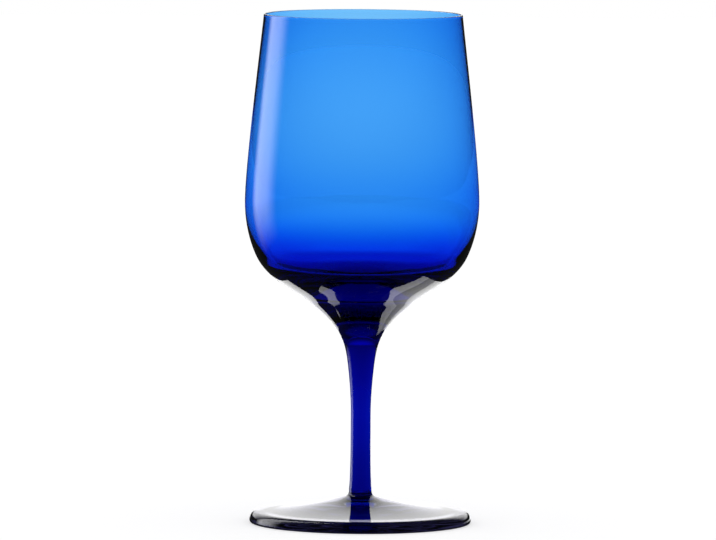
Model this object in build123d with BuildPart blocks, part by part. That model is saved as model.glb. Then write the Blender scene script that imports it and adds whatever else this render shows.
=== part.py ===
"""Water goblet: a blue blown bowl with a solid flared base, on a blue stem with a clear foot.

Three pieces of glass, fused hot. Millimetres, +Z up, origin at the middle of the foot's underside.
A lean is the angle, in degrees, by which the outline going down turns toward the axis.
A pull is the share of a curve's span over which one end keeps its lean.
"""
import os
from math import cos, radians, sin

from build123d import *

# Foot
foot_radius = 43.8
foot_height = 12.2       # table to where the stem comes out of the foot
fillet_width = 2.0       # hollow curve from the stem to the top of the foot
fillet_height = 1.9
fillet_lean = -73.0      # where it meets the top
fillet_pull = 0.5
foot_pull = 0.33
nose_width = 2.8         # rounded edge, from where the top begins to fall away
nose_height = 4.55
nose_lean = -87.0
nose_upper_pull = 0.45
nose_lower_pull = 0.4
edge_round = 1.0         # rounding under the edge
foot_hollow = 1.6        # how far the middle of the underside is lifted
rest_ring_width = 4.0    # flat ring that touches the table

# Stem, rises above the foot
stem_length = 59.2
stem_foot_radius = 4.6
stem_foot_lean = -5.0
stem_depth = 8.8         # how far the stem reaches into the foot
stem_tip_radius = 4.85
waist_radius = 3.95      # thinnest place
waist_rise = 23.2
waist_pull = 0.3
neck_radius = 5.08       # where the stem begins to widen
neck_rise = 49.2
neck_lean = 6.2
neck_lower_pull = 0.5
neck_upper_pull = 0.4
joint_radius = 7.0       # top of the stem, under the bowl
joint_lean = 20.0
joint_lower_pull = 0.28
joint_upper_pull = 0.365

# Outside of the bowl, rises above the stem
bowl_height = 130.0
flare_radius = 20.0      # where the solid base is steepest
flare_rise = 15.7
flare_lean = 48.0
flare_lower_pull = 0.4
flare_upper_pull = 0.24
belly_radius = 46.35     # widest place
belly_rise = 56.0
belly_lower_pull = 0.4
belly_upper_pull = 0.2
shoulder_inset = 4.8     # shoulder inside the widest place
shoulder_rise = 34.0
shoulder_lean = 26.2
shoulder_lower_pull = 0.38
shoulder_upper_pull = 0.25
rim_radius = 39.3
rim_lean = -4.2
rim_pull = 0.07

# Cavity of the bowl
rim_wall = 0.8
belly_wall = 0.86
wall_pull = 0.26         # at the widest place, so that the wall is thinnest above it
heel_inset = 4.63        # where the wall turns into the floor, inside the shoulder
heel_drop = 2.75         # and below it
heel_lean = 46.0
heel_pull = 0.12
heel_wall_pull = 0.53    # how long the wall above the heel stays upright
floor_drop = 5.05        # middle of the cavity floor below the heel
floor_lean = 90.0        # level at the axis
floor_pull = 0.78

# Heights that follow
joint_z = foot_height + stem_length
rim_z = joint_z + bowl_height
belly_z = joint_z + belly_rise
stem_tip_z = foot_height - stem_depth
lip_round = rim_wall / 2

# Places on the outline of the bowl and stem, as (radius, height)
rim_outside = (rim_radius, rim_z - lip_round)
rim_top = (rim_radius - lip_round, rim_z)
rim_inside = (rim_radius - rim_wall, rim_z - lip_round)
belly_outside = (belly_radius, belly_z)
belly_inside = (belly_radius - belly_wall, belly_z)
shoulder = (belly_radius - shoulder_inset, joint_z + shoulder_rise)
heel = (shoulder[0] - heel_inset, shoulder[1] - heel_drop)
cavity_floor = (0, heel[1] - floor_drop)
flare = (flare_radius, joint_z + flare_rise)
joint_edge = (joint_radius, joint_z)
joint_middle = (0, joint_z)
neck = (neck_radius, foot_height + neck_rise)
waist = (waist_radius, foot_height + waist_rise)
stem_foot = (stem_foot_radius, foot_height)
stem_tip = (stem_tip_radius, stem_tip_z)
stem_tip_middle = (0, stem_tip_z)

# Places on the outline of the foot
fillet_foot = (stem_foot_radius + fillet_width, foot_height - fillet_height)
nose_top = (foot_radius - nose_width, nose_height)
edge_middle = (foot_radius, edge_round)
edge_centre = (foot_radius - edge_round, edge_round)
edge_bottom = (foot_radius - edge_round, 0)
rest_inside = (foot_radius - edge_round - rest_ring_width, 0)
hollow_handle = (rest_inside[0] / 2, foot_hollow)
hollow_middle = (0, foot_hollow)


def along(place, lean, length):
    """The place that lies a length further down a leaning line."""
    angle = radians(lean)
    return (place[0] - length * sin(angle), place[1] - length * cos(angle))


def flow(upper, upper_lean, upper_pull, lower, lower_lean, lower_pull):
    """A smooth edge of the outline from an upper place to a lower one."""
    span = (Vector(*upper) - Vector(*lower)).length
    upper_handle = along(upper, upper_lean, upper_pull * span)
    lower_handle = along(lower, lower_lean, -lower_pull * span)
    return Bezier(upper, upper_handle, lower_handle, lower)


def bowl_joint():
    """Disc on which the stem carries the bowl."""
    return Line(joint_middle, joint_edge)


def foot_joint():
    """Socket in which the foot carries the stem."""
    Line(stem_tip_middle, stem_tip)
    Line(stem_tip, stem_foot)


os.makedirs("parts", exist_ok=True)

# Bowl
with BuildPart() as bowl:
    with BuildSketch(Plane.XZ):
        with BuildLine():
            flow(rim_outside, rim_lean, rim_pull, belly_outside, 0, belly_upper_pull)
            flow(belly_outside, 0, belly_lower_pull, shoulder, shoulder_lean, shoulder_upper_pull)
            flow(shoulder, shoulder_lean, shoulder_lower_pull, flare, flare_lean, flare_upper_pull)
            flow(flare, flare_lean, flare_lower_pull, joint_edge, joint_lean, joint_upper_pull)
            bowl_joint()
            Line(joint_middle, cavity_floor)
            flow(heel, heel_lean, heel_pull, cavity_floor, floor_lean, floor_pull)
            flow(belly_inside, 0, heel_wall_pull, heel, heel_lean, heel_pull)
            flow(rim_inside, rim_lean, rim_pull, belly_inside, 0, wall_pull)
            ThreePointArc(rim_inside, rim_top, rim_outside)
        make_face()
    revolve(axis=Axis.Z)
bowl.part.label = "bowl"
export_step(bowl.part, "parts/bowl.step")

# Stem
with BuildPart() as stem:
    with BuildSketch(Plane.XZ):
        with BuildLine():
            bowl_joint()
            flow(joint_edge, joint_lean, joint_lower_pull, neck, neck_lean, neck_upper_pull)
            flow(neck, neck_lean, neck_lower_pull, waist, 0, waist_pull)
            flow(waist, 0, waist_pull, stem_foot, stem_foot_lean, waist_pull)
            foot_joint()
            Line(stem_tip_middle, joint_middle)
        make_face()
    revolve(axis=Axis.Z)
stem.part.label = "stem"
export_step(stem.part, "parts/stem.step")

# Foot
with BuildPart() as foot:
    with BuildSketch(Plane.XZ):
        with BuildLine():
            foot_joint()
            flow(stem_foot, stem_foot_lean, fillet_pull, fillet_foot, fillet_lean, fillet_pull)
            flow(fillet_foot, fillet_lean, foot_pull, nose_top, nose_lean, foot_pull)
            flow(nose_top, nose_lean, nose_upper_pull, edge_middle, 0, nose_lower_pull)
            CenterArc(edge_centre, edge_round, 0, -90)
            Line(edge_bottom, rest_inside)
            Bezier(rest_inside, hollow_handle, hollow_middle)
            Line(hollow_middle, stem_tip_middle)
        make_face()
    revolve(axis=Axis.Z)
foot.part.label = "foot"
export_step(foot.part, "parts/foot.step")
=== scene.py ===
"""Looks of the water goblet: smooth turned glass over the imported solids, on a pale floor in studio light.

Outline sizes are in millimetres, as the goblet is measured, and become metres where a mesh is made.
A lean is the angle, in degrees, by which the outline going down turns toward the axis.
A pull is the share of a curve's span over which one end keeps its lean.
"""
from math import cos, hypot, pi, radians, sin

import bmesh
import bpy
from mathutils import Matrix, Vector

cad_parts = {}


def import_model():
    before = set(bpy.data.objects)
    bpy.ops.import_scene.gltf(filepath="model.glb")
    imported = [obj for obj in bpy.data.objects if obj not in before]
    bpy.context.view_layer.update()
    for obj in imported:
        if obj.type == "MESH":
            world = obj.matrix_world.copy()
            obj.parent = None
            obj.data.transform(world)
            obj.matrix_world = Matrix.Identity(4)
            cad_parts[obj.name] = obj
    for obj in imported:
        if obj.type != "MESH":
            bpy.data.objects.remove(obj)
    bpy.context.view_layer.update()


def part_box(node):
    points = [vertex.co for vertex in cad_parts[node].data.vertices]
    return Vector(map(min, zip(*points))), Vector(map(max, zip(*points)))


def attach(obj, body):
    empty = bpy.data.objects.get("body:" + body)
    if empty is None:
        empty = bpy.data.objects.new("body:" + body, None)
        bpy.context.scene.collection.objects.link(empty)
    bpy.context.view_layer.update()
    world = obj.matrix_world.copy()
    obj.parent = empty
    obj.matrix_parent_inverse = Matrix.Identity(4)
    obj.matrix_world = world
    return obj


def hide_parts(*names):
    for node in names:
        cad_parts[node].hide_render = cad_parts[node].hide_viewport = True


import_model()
scene = bpy.context.scene

MM = 0.001
ROUND_STEPS = 192   # facets round the axis
CURVE_STEPS = 28    # facets along one curve of the outline
FLOOR_STEPS = 56    # facets along the cavity floor
LIP_STEPS = 12      # facets along a small rounding
SEAM = 0.01         # gap between fused pieces, so that no two faces coincide

# Bowl, rises above the stem
rim_radius = 39.3
rim_wall = 0.8
rim_lean = -4.2
rim_pull = 0.07
belly_radius = 46.35
belly_rise = 56.0
belly_wall = 0.86
belly_upper_pull = 0.2
belly_lower_pull = 0.4
wall_pull = 0.26
shoulder_inset = 4.8     # shoulder inside the belly
shoulder_rise = 34.0
shoulder_lean = 26.2
shoulder_upper_pull = 0.25
shoulder_lower_pull = 0.38
heel_inset = 4.63        # where the inner wall turns into the floor, inside the shoulder
heel_drop = 2.75         # and below it
heel_lean = 46.0
heel_pull = 0.12
heel_wall_pull = 0.53
floor_drop = 5.05        # middle of the cavity floor below the heel
floor_lean = 90.0
floor_pull = 0.78
flare_radius = 20.0
flare_rise = 15.7
flare_lean = 48.0
flare_upper_pull = 0.24
flare_lower_pull = 0.4

# Stem, rises above the foot
joint_radius = 7.0
joint_lean = 20.0
joint_upper_pull = 0.365
joint_lower_pull = 0.28
neck_radius = 5.08
neck_rise = 49.2
neck_lean = 6.2
neck_upper_pull = 0.4
neck_lower_pull = 0.5
waist_radius = 3.95
waist_rise = 23.2
waist_pull = 0.3
stem_foot_radius = 4.6
stem_foot_lean = -5.0
stem_tip_radius = 4.85

# Foot
foot_radius = 43.8
fillet_width = 2.0
fillet_height = 1.9
fillet_lean = -73.0
fillet_pull = 0.5
foot_pull = 0.33
nose_width = 2.8
nose_height = 4.55
nose_lean = -87.0
nose_upper_pull = 0.45
nose_lower_pull = 0.4
edge_round = 1.0
foot_hollow = 1.6
rest_ring_width = 4.0


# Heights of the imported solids

def low_z(node):
    """Lowest height of a node, in millimetres."""
    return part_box(node)[0][2] / MM


def high_z(node):
    """Highest height of a node, in millimetres."""
    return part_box(node)[1][2] / MM


rim_z = high_z("bowl")
joint_z = high_z("stem")
foot_z = high_z("foot")
stem_tip_z = low_z("stem")


# Outline curves

def along(place, lean, length):
    """The place a length further down a leaning line."""
    angle = radians(lean)
    return (place[0] - length * sin(angle), place[1] - length * cos(angle))


def between(a, b, share):
    """The place a share of the way from one place to another."""
    return (a[0] + (b[0] - a[0]) * share, a[1] + (b[1] - a[1]) * share)


def bezier(handles, steps):
    """Points along a Bezier curve of any number of handles."""
    points = []
    for step in range(steps + 1):
        share = step / steps
        row = list(handles)
        while len(row) > 1:
            row = [between(a, b, share) for a, b in zip(row, row[1:])]
        points.append(row[0])
    return points


def flow(upper, upper_lean, upper_pull, lower, lower_lean, lower_pull, steps=CURVE_STEPS):
    """A smooth stretch of outline, with the same leans and pulls as the solids have."""
    span = hypot(upper[0] - lower[0], upper[1] - lower[1])
    upper_handle = along(upper, upper_lean, upper_pull * span)
    lower_handle = along(lower, lower_lean, -lower_pull * span)
    return bezier([upper, upper_handle, lower_handle, lower], steps)


def arc(centre, radius, start, end, steps=LIP_STEPS):
    """Points round a circle between two angles in degrees, counted from outward level."""
    points = []
    for step in range(steps + 1):
        angle = radians(start + (end - start) * step / steps)
        points.append((centre[0] + radius * cos(angle), centre[1] + radius * sin(angle)))
    return points


def chain(*curves):
    """Curves joined into one run, with each shared place once."""
    points = list(curves[0])
    for curve in curves[1:]:
        points += curve[1:]
    return points


# Outlines, as runs that each say whether they are fused to another piece

def bowl_outline():
    """The bowl, from the cavity floor over the rim and down the outside to the stem."""
    lip = rim_wall / 2
    rim_outside = (rim_radius, rim_z - lip)
    rim_middle = (rim_radius - lip, rim_z - lip)
    rim_inside = (rim_radius - rim_wall, rim_z - lip)
    belly_outside = (belly_radius, joint_z + belly_rise)
    belly_inside = (belly_radius - belly_wall, joint_z + belly_rise)
    shoulder = (belly_radius - shoulder_inset, joint_z + shoulder_rise)
    heel = (shoulder[0] - heel_inset, shoulder[1] - heel_drop)
    cavity_floor = (0, heel[1] - floor_drop)
    flare = (flare_radius, joint_z + flare_rise)
    joint = (joint_radius, joint_z)
    inside = chain(
        flow(rim_inside, rim_lean, rim_pull, belly_inside, 0, wall_pull),
        flow(belly_inside, 0, heel_wall_pull, heel, heel_lean, heel_pull),
        flow(heel, heel_lean, heel_pull, cavity_floor, floor_lean, floor_pull, FLOOR_STEPS),
    )
    rim = arc(rim_middle, lip, 180, 0)
    outside = chain(
        flow(rim_outside, rim_lean, rim_pull, belly_outside, 0, belly_upper_pull),
        flow(belly_outside, 0, belly_lower_pull, shoulder, shoulder_lean, shoulder_upper_pull),
        flow(shoulder, shoulder_lean, shoulder_lower_pull, flare, flare_lean, flare_upper_pull),
        flow(flare, flare_lean, flare_lower_pull, joint, joint_lean, joint_upper_pull),
    )
    return [
        (inside[::-1] + rim[1:-1] + outside, False),
        ([joint, (0, joint_z)], True),
    ]


def stem_outline():
    """The stem, from its head under the bowl to its end in the foot."""
    joint = (joint_radius, joint_z - SEAM)
    neck = (neck_radius, foot_z + neck_rise)
    waist = (waist_radius, foot_z + waist_rise)
    stem_foot = (stem_foot_radius, foot_z)
    stem_tip = (stem_tip_radius, stem_tip_z)
    side = chain(
        flow(joint, joint_lean, joint_lower_pull, neck, neck_lean, neck_upper_pull),
        flow(neck, neck_lean, neck_lower_pull, waist, 0, waist_pull),
        flow(waist, 0, waist_pull, stem_foot, stem_foot_lean, waist_pull),
    )
    return [
        ([(0, joint_z - SEAM), joint], True),
        (side, False),
        ([stem_foot, stem_tip, (0, stem_tip_z)], True),
    ]


def foot_outline():
    """The foot, from the socket round the stem's end to the hollow underside."""
    socket_edge = (stem_foot_radius + SEAM, foot_z)
    socket_tip = (stem_tip_radius + SEAM, stem_tip_z - SEAM)
    fillet_foot = (stem_foot_radius + fillet_width, foot_z - fillet_height)
    nose_top = (foot_radius - nose_width, nose_height)
    edge_middle = (foot_radius, edge_round)
    edge_centre = (foot_radius - edge_round, edge_round)
    rest_outside = (foot_radius - edge_round, 0)
    rest_inside = (foot_radius - edge_round - rest_ring_width, 0)
    hollow_handle = (rest_inside[0] / 2, foot_hollow)
    hollow_middle = (0, foot_hollow)
    top = chain(
        flow(socket_edge, stem_foot_lean, fillet_pull, fillet_foot, fillet_lean, fillet_pull),
        flow(fillet_foot, fillet_lean, foot_pull, nose_top, nose_lean, foot_pull),
        flow(nose_top, nose_lean, nose_upper_pull, edge_middle, 0, nose_lower_pull),
        arc(edge_centre, edge_round, 0, -90),
    )
    hollow = bezier([rest_inside, hollow_handle, hollow_middle], CURVE_STEPS)
    return [
        ([(0, stem_tip_z - SEAM), socket_tip, socket_edge], True),
        (top, False),
        ([rest_outside] + hollow, False),
    ]


# Turned meshes

def turn(name, runs):
    """A closed mesh turned about Z; faces of fused runs carry 1 in the face attribute fused."""
    mesh_maker = bmesh.new()
    fused_layer = mesh_maker.faces.layers.float.new("fused")
    rings = {}

    def ring(place):
        """Vertices round the axis at a place, or the one vertex on the axis, made once."""
        key = (round(place[0], 6), round(place[1], 6))
        if key not in rings:
            radius, height = place[0] * MM, place[1] * MM
            if key[0] == 0:
                rings[key] = [mesh_maker.verts.new((0, 0, height))]
            else:
                angles = [2 * pi * step / ROUND_STEPS for step in range(ROUND_STEPS)]
                rings[key] = [
                    mesh_maker.verts.new((radius * cos(angle), radius * sin(angle), height))
                    for angle in angles
                ]
        return rings[key]

    def corners(circle, steps):
        """Corners of a face on one ring."""
        if len(circle) == 1:
            return [circle[0]]
        return [circle[step % ROUND_STEPS] for step in steps]

    def sharpen(circle):
        """Breaks the smooth shading along a ring."""
        for a, b in zip(circle, circle[1:] + circle[:1]):
            edge = mesh_maker.edges.get((a, b))
            if edge is not None:
                edge.smooth = False

    for points, fused in runs:
        for upper, lower in zip(points, points[1:]):
            first, second = ring(upper), ring(lower)
            for step in range(ROUND_STEPS):
                face = mesh_maker.faces.new(
                    corners(first, (step, step + 1)) + corners(second, (step + 1, step))
                )
                face.smooth = True
                face[fused_layer] = 1.0 if fused else 0.0
        for end in (points[0], points[-1]):
            if len(ring(end)) > 1:
                sharpen(ring(end))
    bmesh.ops.recalc_face_normals(mesh_maker, faces=mesh_maker.faces)
    mesh = bpy.data.meshes.new(name)
    mesh_maker.to_mesh(mesh)
    mesh_maker.free()
    piece = bpy.data.objects.new(name, mesh)
    scene.collection.objects.link(piece)
    return piece


# Node helpers

def link(tree, source, target):
    """Feeds a socket from another socket, or sets it to a number."""
    if isinstance(source, (int, float)):
        target.default_value = source
    else:
        tree.links.new(source, target)


def calculate(tree, operation, first, second=0.0):
    """Socket with a sum, product or the like; a difference stops at 0."""
    node = tree.nodes.new("ShaderNodeMath")
    node.operation = operation
    node.use_clamp = operation == "SUBTRACT"
    link(tree, first, node.inputs[0])
    link(tree, second, node.inputs[1])
    return node.outputs[0]


def product(tree, *factors):
    """Socket with the product of several sockets or numbers."""
    result = factors[0]
    for factor in factors[1:]:
        result = calculate(tree, "MULTIPLY", result, factor)
    return result


def ramp(tree, value, start, end, low, high):
    """Socket that goes smoothly from low to high while a value goes from start to end."""
    node = tree.nodes.new("ShaderNodeMapRange")
    node.interpolation_type = "SMOOTHSTEP"
    link(tree, value, node.inputs["Value"])
    node.inputs["From Min"].default_value = start
    node.inputs["From Max"].default_value = end
    node.inputs["To Min"].default_value = low
    node.inputs["To Max"].default_value = high
    return node.outputs["Result"]


def blend(tree, share, first, second):
    """Socket between two values."""
    node = tree.nodes.new("ShaderNodeMix")
    link(tree, share, node.inputs["Factor"])
    link(tree, first, node.inputs["A"])
    link(tree, second, node.inputs["B"])
    return node.outputs["Result"]


def noise(tree, place, scale, detail):
    """Socket with a soft random pattern."""
    node = tree.nodes.new("ShaderNodeTexNoise")
    link(tree, place, node.inputs["Vector"])
    node.inputs["Scale"].default_value = scale
    node.inputs["Detail"].default_value = detail
    return node.outputs["Fac"]


# Glass materials

GLASS_IOR = 1.5
FUSED_IOR = 1.0                     # fused faces do not bend light
WAVE_STRETCH = (26.0, 26.0, 44.0)   # waves per metre round and up the goblet
WAVE_DETAIL = 1.0
WAVE_HEIGHT = 0.0002
WAVE_STRENGTH = 0.12
HAZE_SCALE = 140.0                  # dull places per metre
HAZE_DETAIL = 3.0
HAZE_LIMITS = (0.5, 0.8)            # pattern value at the best polished and the dullest place
POLISH = (0.0, 0.012)               # roughness there
DEPTH_MARGIN = 1.05                 # keeps every channel of the absorption colour above 0


def glass(name, absorbed):
    """Fire-polished glass that takes up light by depth; absorbed is the loss per millimetre of R, G, B."""
    material = bpy.data.materials.new(name)
    material.use_nodes = True
    tree = material.node_tree
    nodes = tree.nodes
    shader = nodes["Principled BSDF"]
    shader.inputs["Base Color"].default_value = (1, 1, 1, 1)
    shader.inputs["Transmission Weight"].default_value = 1.0
    place = nodes.new("ShaderNodeTexCoord").outputs["Object"]

    # Faint waves left by blowing, drawn out round the axis
    stretch = nodes.new("ShaderNodeMapping")
    stretch.inputs["Scale"].default_value = WAVE_STRETCH
    link(tree, place, stretch.inputs["Vector"])
    waves = nodes.new("ShaderNodeBump")
    waves.inputs["Strength"].default_value = WAVE_STRENGTH
    waves.inputs["Distance"].default_value = WAVE_HEIGHT
    link(tree, noise(tree, stretch.outputs["Vector"], 1.0, WAVE_DETAIL), waves.inputs["Height"])
    link(tree, waves.outputs["Normal"], shader.inputs["Normal"])

    # Polish that dulls a little in places
    haze = noise(tree, place, HAZE_SCALE, HAZE_DETAIL)
    link(tree, ramp(tree, haze, *HAZE_LIMITS, *POLISH), shader.inputs["Roughness"])

    # Fused faces
    seam = nodes.new("ShaderNodeAttribute")
    seam.attribute_name = "fused"
    link(tree, ramp(tree, seam.outputs["Fac"], 0.0, 1.0, GLASS_IOR, FUSED_IOR), shader.inputs["IOR"])

    # Colour by depth
    depth = nodes.new("ShaderNodeVolumeAbsorption")
    density = max(absorbed) * DEPTH_MARGIN
    depth.inputs["Color"].default_value = (*[1 - loss / density for loss in absorbed], 1)
    depth.inputs["Density"].default_value = density / MM
    link(tree, depth.outputs["Volume"], nodes["Material Output"].inputs["Volume"])
    return material


# Pieces

BLUE = (2.24, 0.784, 0.045)   # loss per millimetre of red, green and blue
DEEP_BLUE = (2.00, 0.80, 0.15)
CLEAR = (0.045, 0.046, 0.030)

PIECES = {
    "bowl": (bowl_outline, BLUE, "bowl_blue_glass"),
    "stem": (stem_outline, DEEP_BLUE, "stem_blue_glass"),
    "foot": (foot_outline, CLEAR, "clear_glass"),
}
for node, (outline, absorbed, slot) in PIECES.items():
    piece = turn(node + "_glass", outline())
    piece.data.materials.append(glass(slot, absorbed))
    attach(piece, "root")
    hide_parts(node)


# Stage helpers

def ray_kinds(tree):
    """Sockets that are 1 for rays of a kind; bounced rays were mirrored at least once on their way."""
    path = tree.nodes.new("ShaderNodeLightPath")
    passed = path.outputs["Is Transmission Ray"]
    bounces = path.outputs["Glossy Depth"]
    more_bounces = calculate(tree, "SUBTRACT", bounces, 1.0)
    return {
        "camera": path.outputs["Is Camera Ray"],
        "passed": passed,
        "mirrored": calculate(tree, "SUBTRACT", path.outputs["Is Glossy Ray"], passed),
        "bounced": calculate(tree, "MINIMUM", bounces, 1.0),
        "bounced_twice": calculate(tree, "MINIMUM", more_bounces, 1.0),
    }


def plane(name, corners):
    """Flat stage piece with the given corners."""
    mesh = bpy.data.meshes.new(name)
    mesh.from_pydata(corners, [], [(0, 1, 2, 3)])
    piece = bpy.data.objects.new(name, mesh)
    scene.collection.objects.link(piece)
    material = bpy.data.materials.new(name)
    material.use_nodes = True
    mesh.materials.append(material)
    return piece, material.node_tree


# Floor, in metres

FLOOR_HALF = 4.0
FLOOR_GAP = 0.00005          # under the foot
FLOOR_TONE = 0.85
FLOOR_ROUGHNESS = 0.9
FLOOR_GLOW = 0.45            # lifts the floor to white, as it is seen
PAINTED_FOOT_LIGHT = 0.95             # painted light on the floor under the clear foot, as seen through it, in place of the light the foot lets through
ROOM_TONE = 0.02             # dark room, as glass mirrors it
FOOT_SHADE_AND_LIGHT = (0.046, 0.060)  # distance from the axis over which the place under the foot ends, with its painted shade and painted light
SOFT_SHADE = (0.14, 0.45)    # distance over which the painted soft shade round the goblet, seen only through glass, ends
SOFT_SHADE_LEVEL = 0.72


def floor():
    """Large pale floor just under the foot, which keeps the goblet's shadow."""
    sides = [(-1, -1), (1, -1), (1, 1), (-1, 1)]
    piece, tree = plane("floor", [(x * FLOOR_HALF, y * FLOOR_HALF, -FLOOR_GAP) for x, y in sides])
    piece.visible_glossy = False
    paint = tree.nodes["Principled BSDF"]
    paint.inputs["Roughness"].default_value = FLOOR_ROUGHNESS
    paint.inputs["Specular IOR Level"].default_value = 0.0
    paint.inputs["Emission Color"].default_value = (1, 1, 1, 1)
    rays = ray_kinds(tree)
    away = tree.nodes.new("ShaderNodeVectorMath")
    away.operation = "LENGTH"
    link(tree, tree.nodes.new("ShaderNodeNewGeometry").outputs["Position"], away.inputs[0])
    distance = away.outputs["Value"]

    # Painted shade: dark under the foot for bounced rays, and a soft shade round the goblet that shows only
    # as seen through glass
    under_foot = ramp(tree, distance, *FOOT_SHADE_AND_LIGHT, 1.0, 0.0)
    dark = product(tree, rays["bounced"], under_foot)
    soft = blend(tree, rays["passed"], 1.0, ramp(tree, distance, *SOFT_SHADE, SOFT_SHADE_LEVEL, 1.0))
    tone = blend(tree, dark, FLOOR_TONE, ROOM_TONE)
    link(tree, product(tree, soft, tone), paint.inputs["Base Color"])

    # Glow for the camera and through glass, with painted light on the floor under the clear foot as seen
    # through it
    seen = calculate(tree, "MAXIMUM", rays["camera"], rays["passed"])
    bright = calculate(tree, "SUBTRACT", seen, dark)
    glow = blend(tree, product(tree, under_foot, rays["passed"]), FLOOR_GLOW, PAINTED_FOOT_LIGHT)
    link(tree, product(tree, bright, soft, glow), paint.inputs["Emission Strength"])


# Surroundings; Z is the upward part of a direction, and a turn is in degrees from straight back

SKY_LIGHT = 0.7              # light on the floor
CEILING = 0.12
HORIZON = (0.22, 0.55)       # Z from the white backdrop to the ceiling
OVERHEAD = (0.75, 0.92)      # Z from the ceiling to the overhead softbox
OVERHEAD_LEVEL = 0.7
BACKDROP_LEVEL = 1.4         # bright backdrop, as the foot mirrors it
BACKDROP_FOOT = (0.10, 0.17) # Z over which it begins
BACKDROP_TOP = (0.40, 0.68)  # Z over which it ends
BACKDROP_SIDE = (22, 48)     # turn over which it ends
FAR_LEVEL = 1.3              # far edge of the table, as the back of the foot mirrors it
FAR_FOOT = (-0.095, -0.07)   # Z over which it begins
FAR_TOP = (0.10, 0.17)       # Z over which it ends
FAR_SIDE = (4, 9)            # turn over which it ends
STREAK_LEVEL = 2.8           # softbox to the left, as the bowl mirrors it
STREAK_OUTER = (-54, -40)    # turn over which it ends toward the back
STREAK_INNER = (-88, -68)    # turn over which it ends toward the front
STREAK_FOOT = (-0.42, 0.06)  # Z over which it begins


def world():
    """White surroundings with a dim ceiling as they are seen, a dark room with softboxes as mirrored."""
    made = bpy.data.worlds.new("studio")
    scene.world = made
    made.use_nodes = True
    tree = made.node_tree
    sky = tree.nodes["Background"]
    sky.inputs["Color"].default_value = (1, 1, 1, 1)
    split = tree.nodes.new("ShaderNodeSeparateXYZ")
    link(tree, tree.nodes.new("ShaderNodeTexCoord").outputs["Generated"], split.inputs[0])
    right, back, up = split.outputs
    turned = calculate(tree, "ARCTAN2", right, back)
    aside = calculate(tree, "ABSOLUTE", turned)
    rays = ray_kinds(tree)

    def begins(value, limits):
        """Socket that rises from 0 to 1 between the limits."""
        return ramp(tree, value, *limits, 0.0, 1.0)

    def ends(value, limits):
        """Socket that falls from 1 to 0 between the limits."""
        return ramp(tree, value, *limits, 1.0, 0.0)

    def turns(limits):
        """Limits in radians."""
        return [radians(limit) for limit in limits]

    # As seen through glass; the foot of the backdrop stays dark where the glass mirrors it inside
    low = ramp(tree, up, *HORIZON, 1.0, CEILING)
    high = ramp(tree, up, *OVERHEAD, 0.0, OVERHEAD_LEVEL)
    inside = blend(tree, rays["bounced"], 1.0, begins(up, BACKDROP_FOOT))
    through = product(tree, calculate(tree, "MAXIMUM", low, high), inside)

    # As mirrored on the glass; what is mirrored twice is the dark room alone
    backdrop = product(
        tree, ends(aside, turns(BACKDROP_SIDE)), begins(up, BACKDROP_FOOT), ends(up, BACKDROP_TOP),
        BACKDROP_LEVEL
    )
    far_edge = product(
        tree, ends(aside, turns(FAR_SIDE)), begins(up, FAR_FOOT), ends(up, FAR_TOP), FAR_LEVEL
    )
    streak = product(
        tree, ends(turned, turns(STREAK_OUTER)), begins(turned, turns(STREAK_INNER)),
        begins(up, STREAK_FOOT), STREAK_LEVEL
    )
    boxes = calculate(tree, "ADD", calculate(tree, "ADD", backdrop, far_edge), streak)
    room = calculate(tree, "MAXIMUM", blend(tree, rays["bounced_twice"], boxes, 0.0), ROOM_TONE)

    level = blend(tree, rays["passed"], SKY_LIGHT, through)
    level = blend(tree, rays["camera"], level, 1.0)
    link(tree, blend(tree, rays["mirrored"], level, room), sky.inputs["Strength"])


# Bright parts of the table, as the glass mirrors them: X and Y limits in metres, and level

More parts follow.
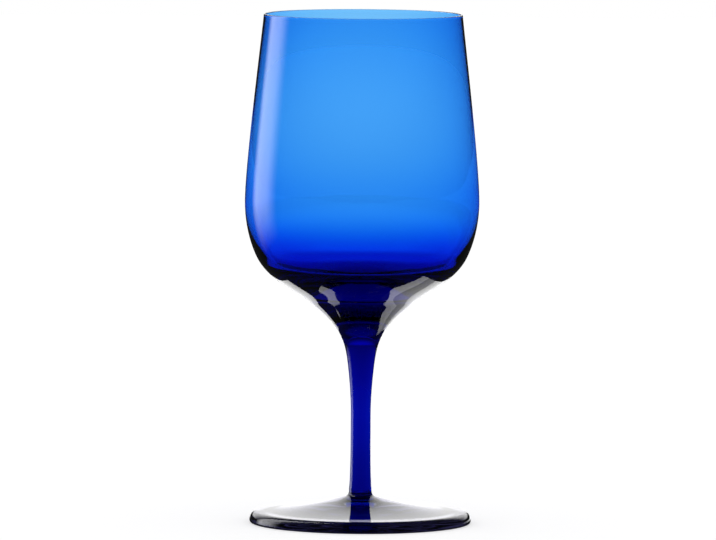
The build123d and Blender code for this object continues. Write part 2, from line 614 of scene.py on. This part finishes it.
CARD_DROP = 0.0005           # under the floor, which mirrored rays pass
CARDS = {
    "right_card": ((0.032, 0.090), (0.025, 0.058), 1.6),
    "right_far_card": ((0.032, 0.090), (0.058, 0.120), 0.85),
    "left_card": ((-0.048, -0.030), (0.030, 0.062), 1.2),
    "far_card": ((-0.090, 0.090), (0.120, 0.600), 1.8),
}


def cards():
    """White cards just under the floor that only show in mirrored light."""
    for name, ((left, right), (near, far), level) in CARDS.items():
        corners = [(left, near), (right, near), (right, far), (left, far)]
        piece, tree = plane(name, [(x, y, -CARD_DROP) for x, y in corners])
        piece.visible_camera = False
        piece.visible_diffuse = False
        piece.visible_transmission = False
        piece.visible_shadow = False
        tree.nodes.remove(tree.nodes["Principled BSDF"])
        light = tree.nodes.new("ShaderNodeEmission")
        light.inputs["Strength"].default_value = level
        link(tree, light.outputs["Emission"], tree.nodes["Material Output"].inputs["Surface"])


floor()
world()
cards()


# Camera, in metres and degrees

FRAME_WIDTH = 716         # pixels
AXIS_COLUMN = 361.7       # pixel column of the goblet's axis, in the middle row of the frame
PIXELS_PER_MM = 2.54      # photo scale at the goblet
SENSOR = 36.0             # millimetres
DISTANCE = 3.50
CAMERA_HEIGHT = 0.3752
AIM_HEIGHT = 0.1002
ROLL = 0.37
CLIP_END = 100.0


def camera():
    """Long lens a little above the rim."""
    lens = bpy.data.cameras.new("camera")
    lens.sensor_width = SENSOR
    lens.lens = SENSOR * PIXELS_PER_MM * DISTANCE / MM / FRAME_WIDTH
    lens.clip_end = CLIP_END
    holder = bpy.data.objects.new("camera", lens)
    side = (FRAME_WIDTH / 2 - AXIS_COLUMN) / PIXELS_PER_MM * MM
    place = Vector((side, -DISTANCE, CAMERA_HEIGHT))
    aim = Vector((side, 0, AIM_HEIGHT))
    turn_to = (aim - place).to_track_quat("-Z", "Y").to_matrix().to_4x4()
    holder.matrix_world = Matrix.Translation(place) @ turn_to @ Matrix.Rotation(radians(ROLL), 4, "Z")
    scene.collection.objects.link(holder)
    scene.camera = holder


camera()

# Light through many faces of glass
GLASS_BOUNCES = 40
MIRROR_BOUNCES = 16
scene.view_settings.view_transform = "Standard"
scene.cycles.max_bounces = GLASS_BOUNCES
scene.cycles.transmission_bounces = GLASS_BOUNCES
scene.cycles.glossy_bounces = MIRROR_BOUNCES
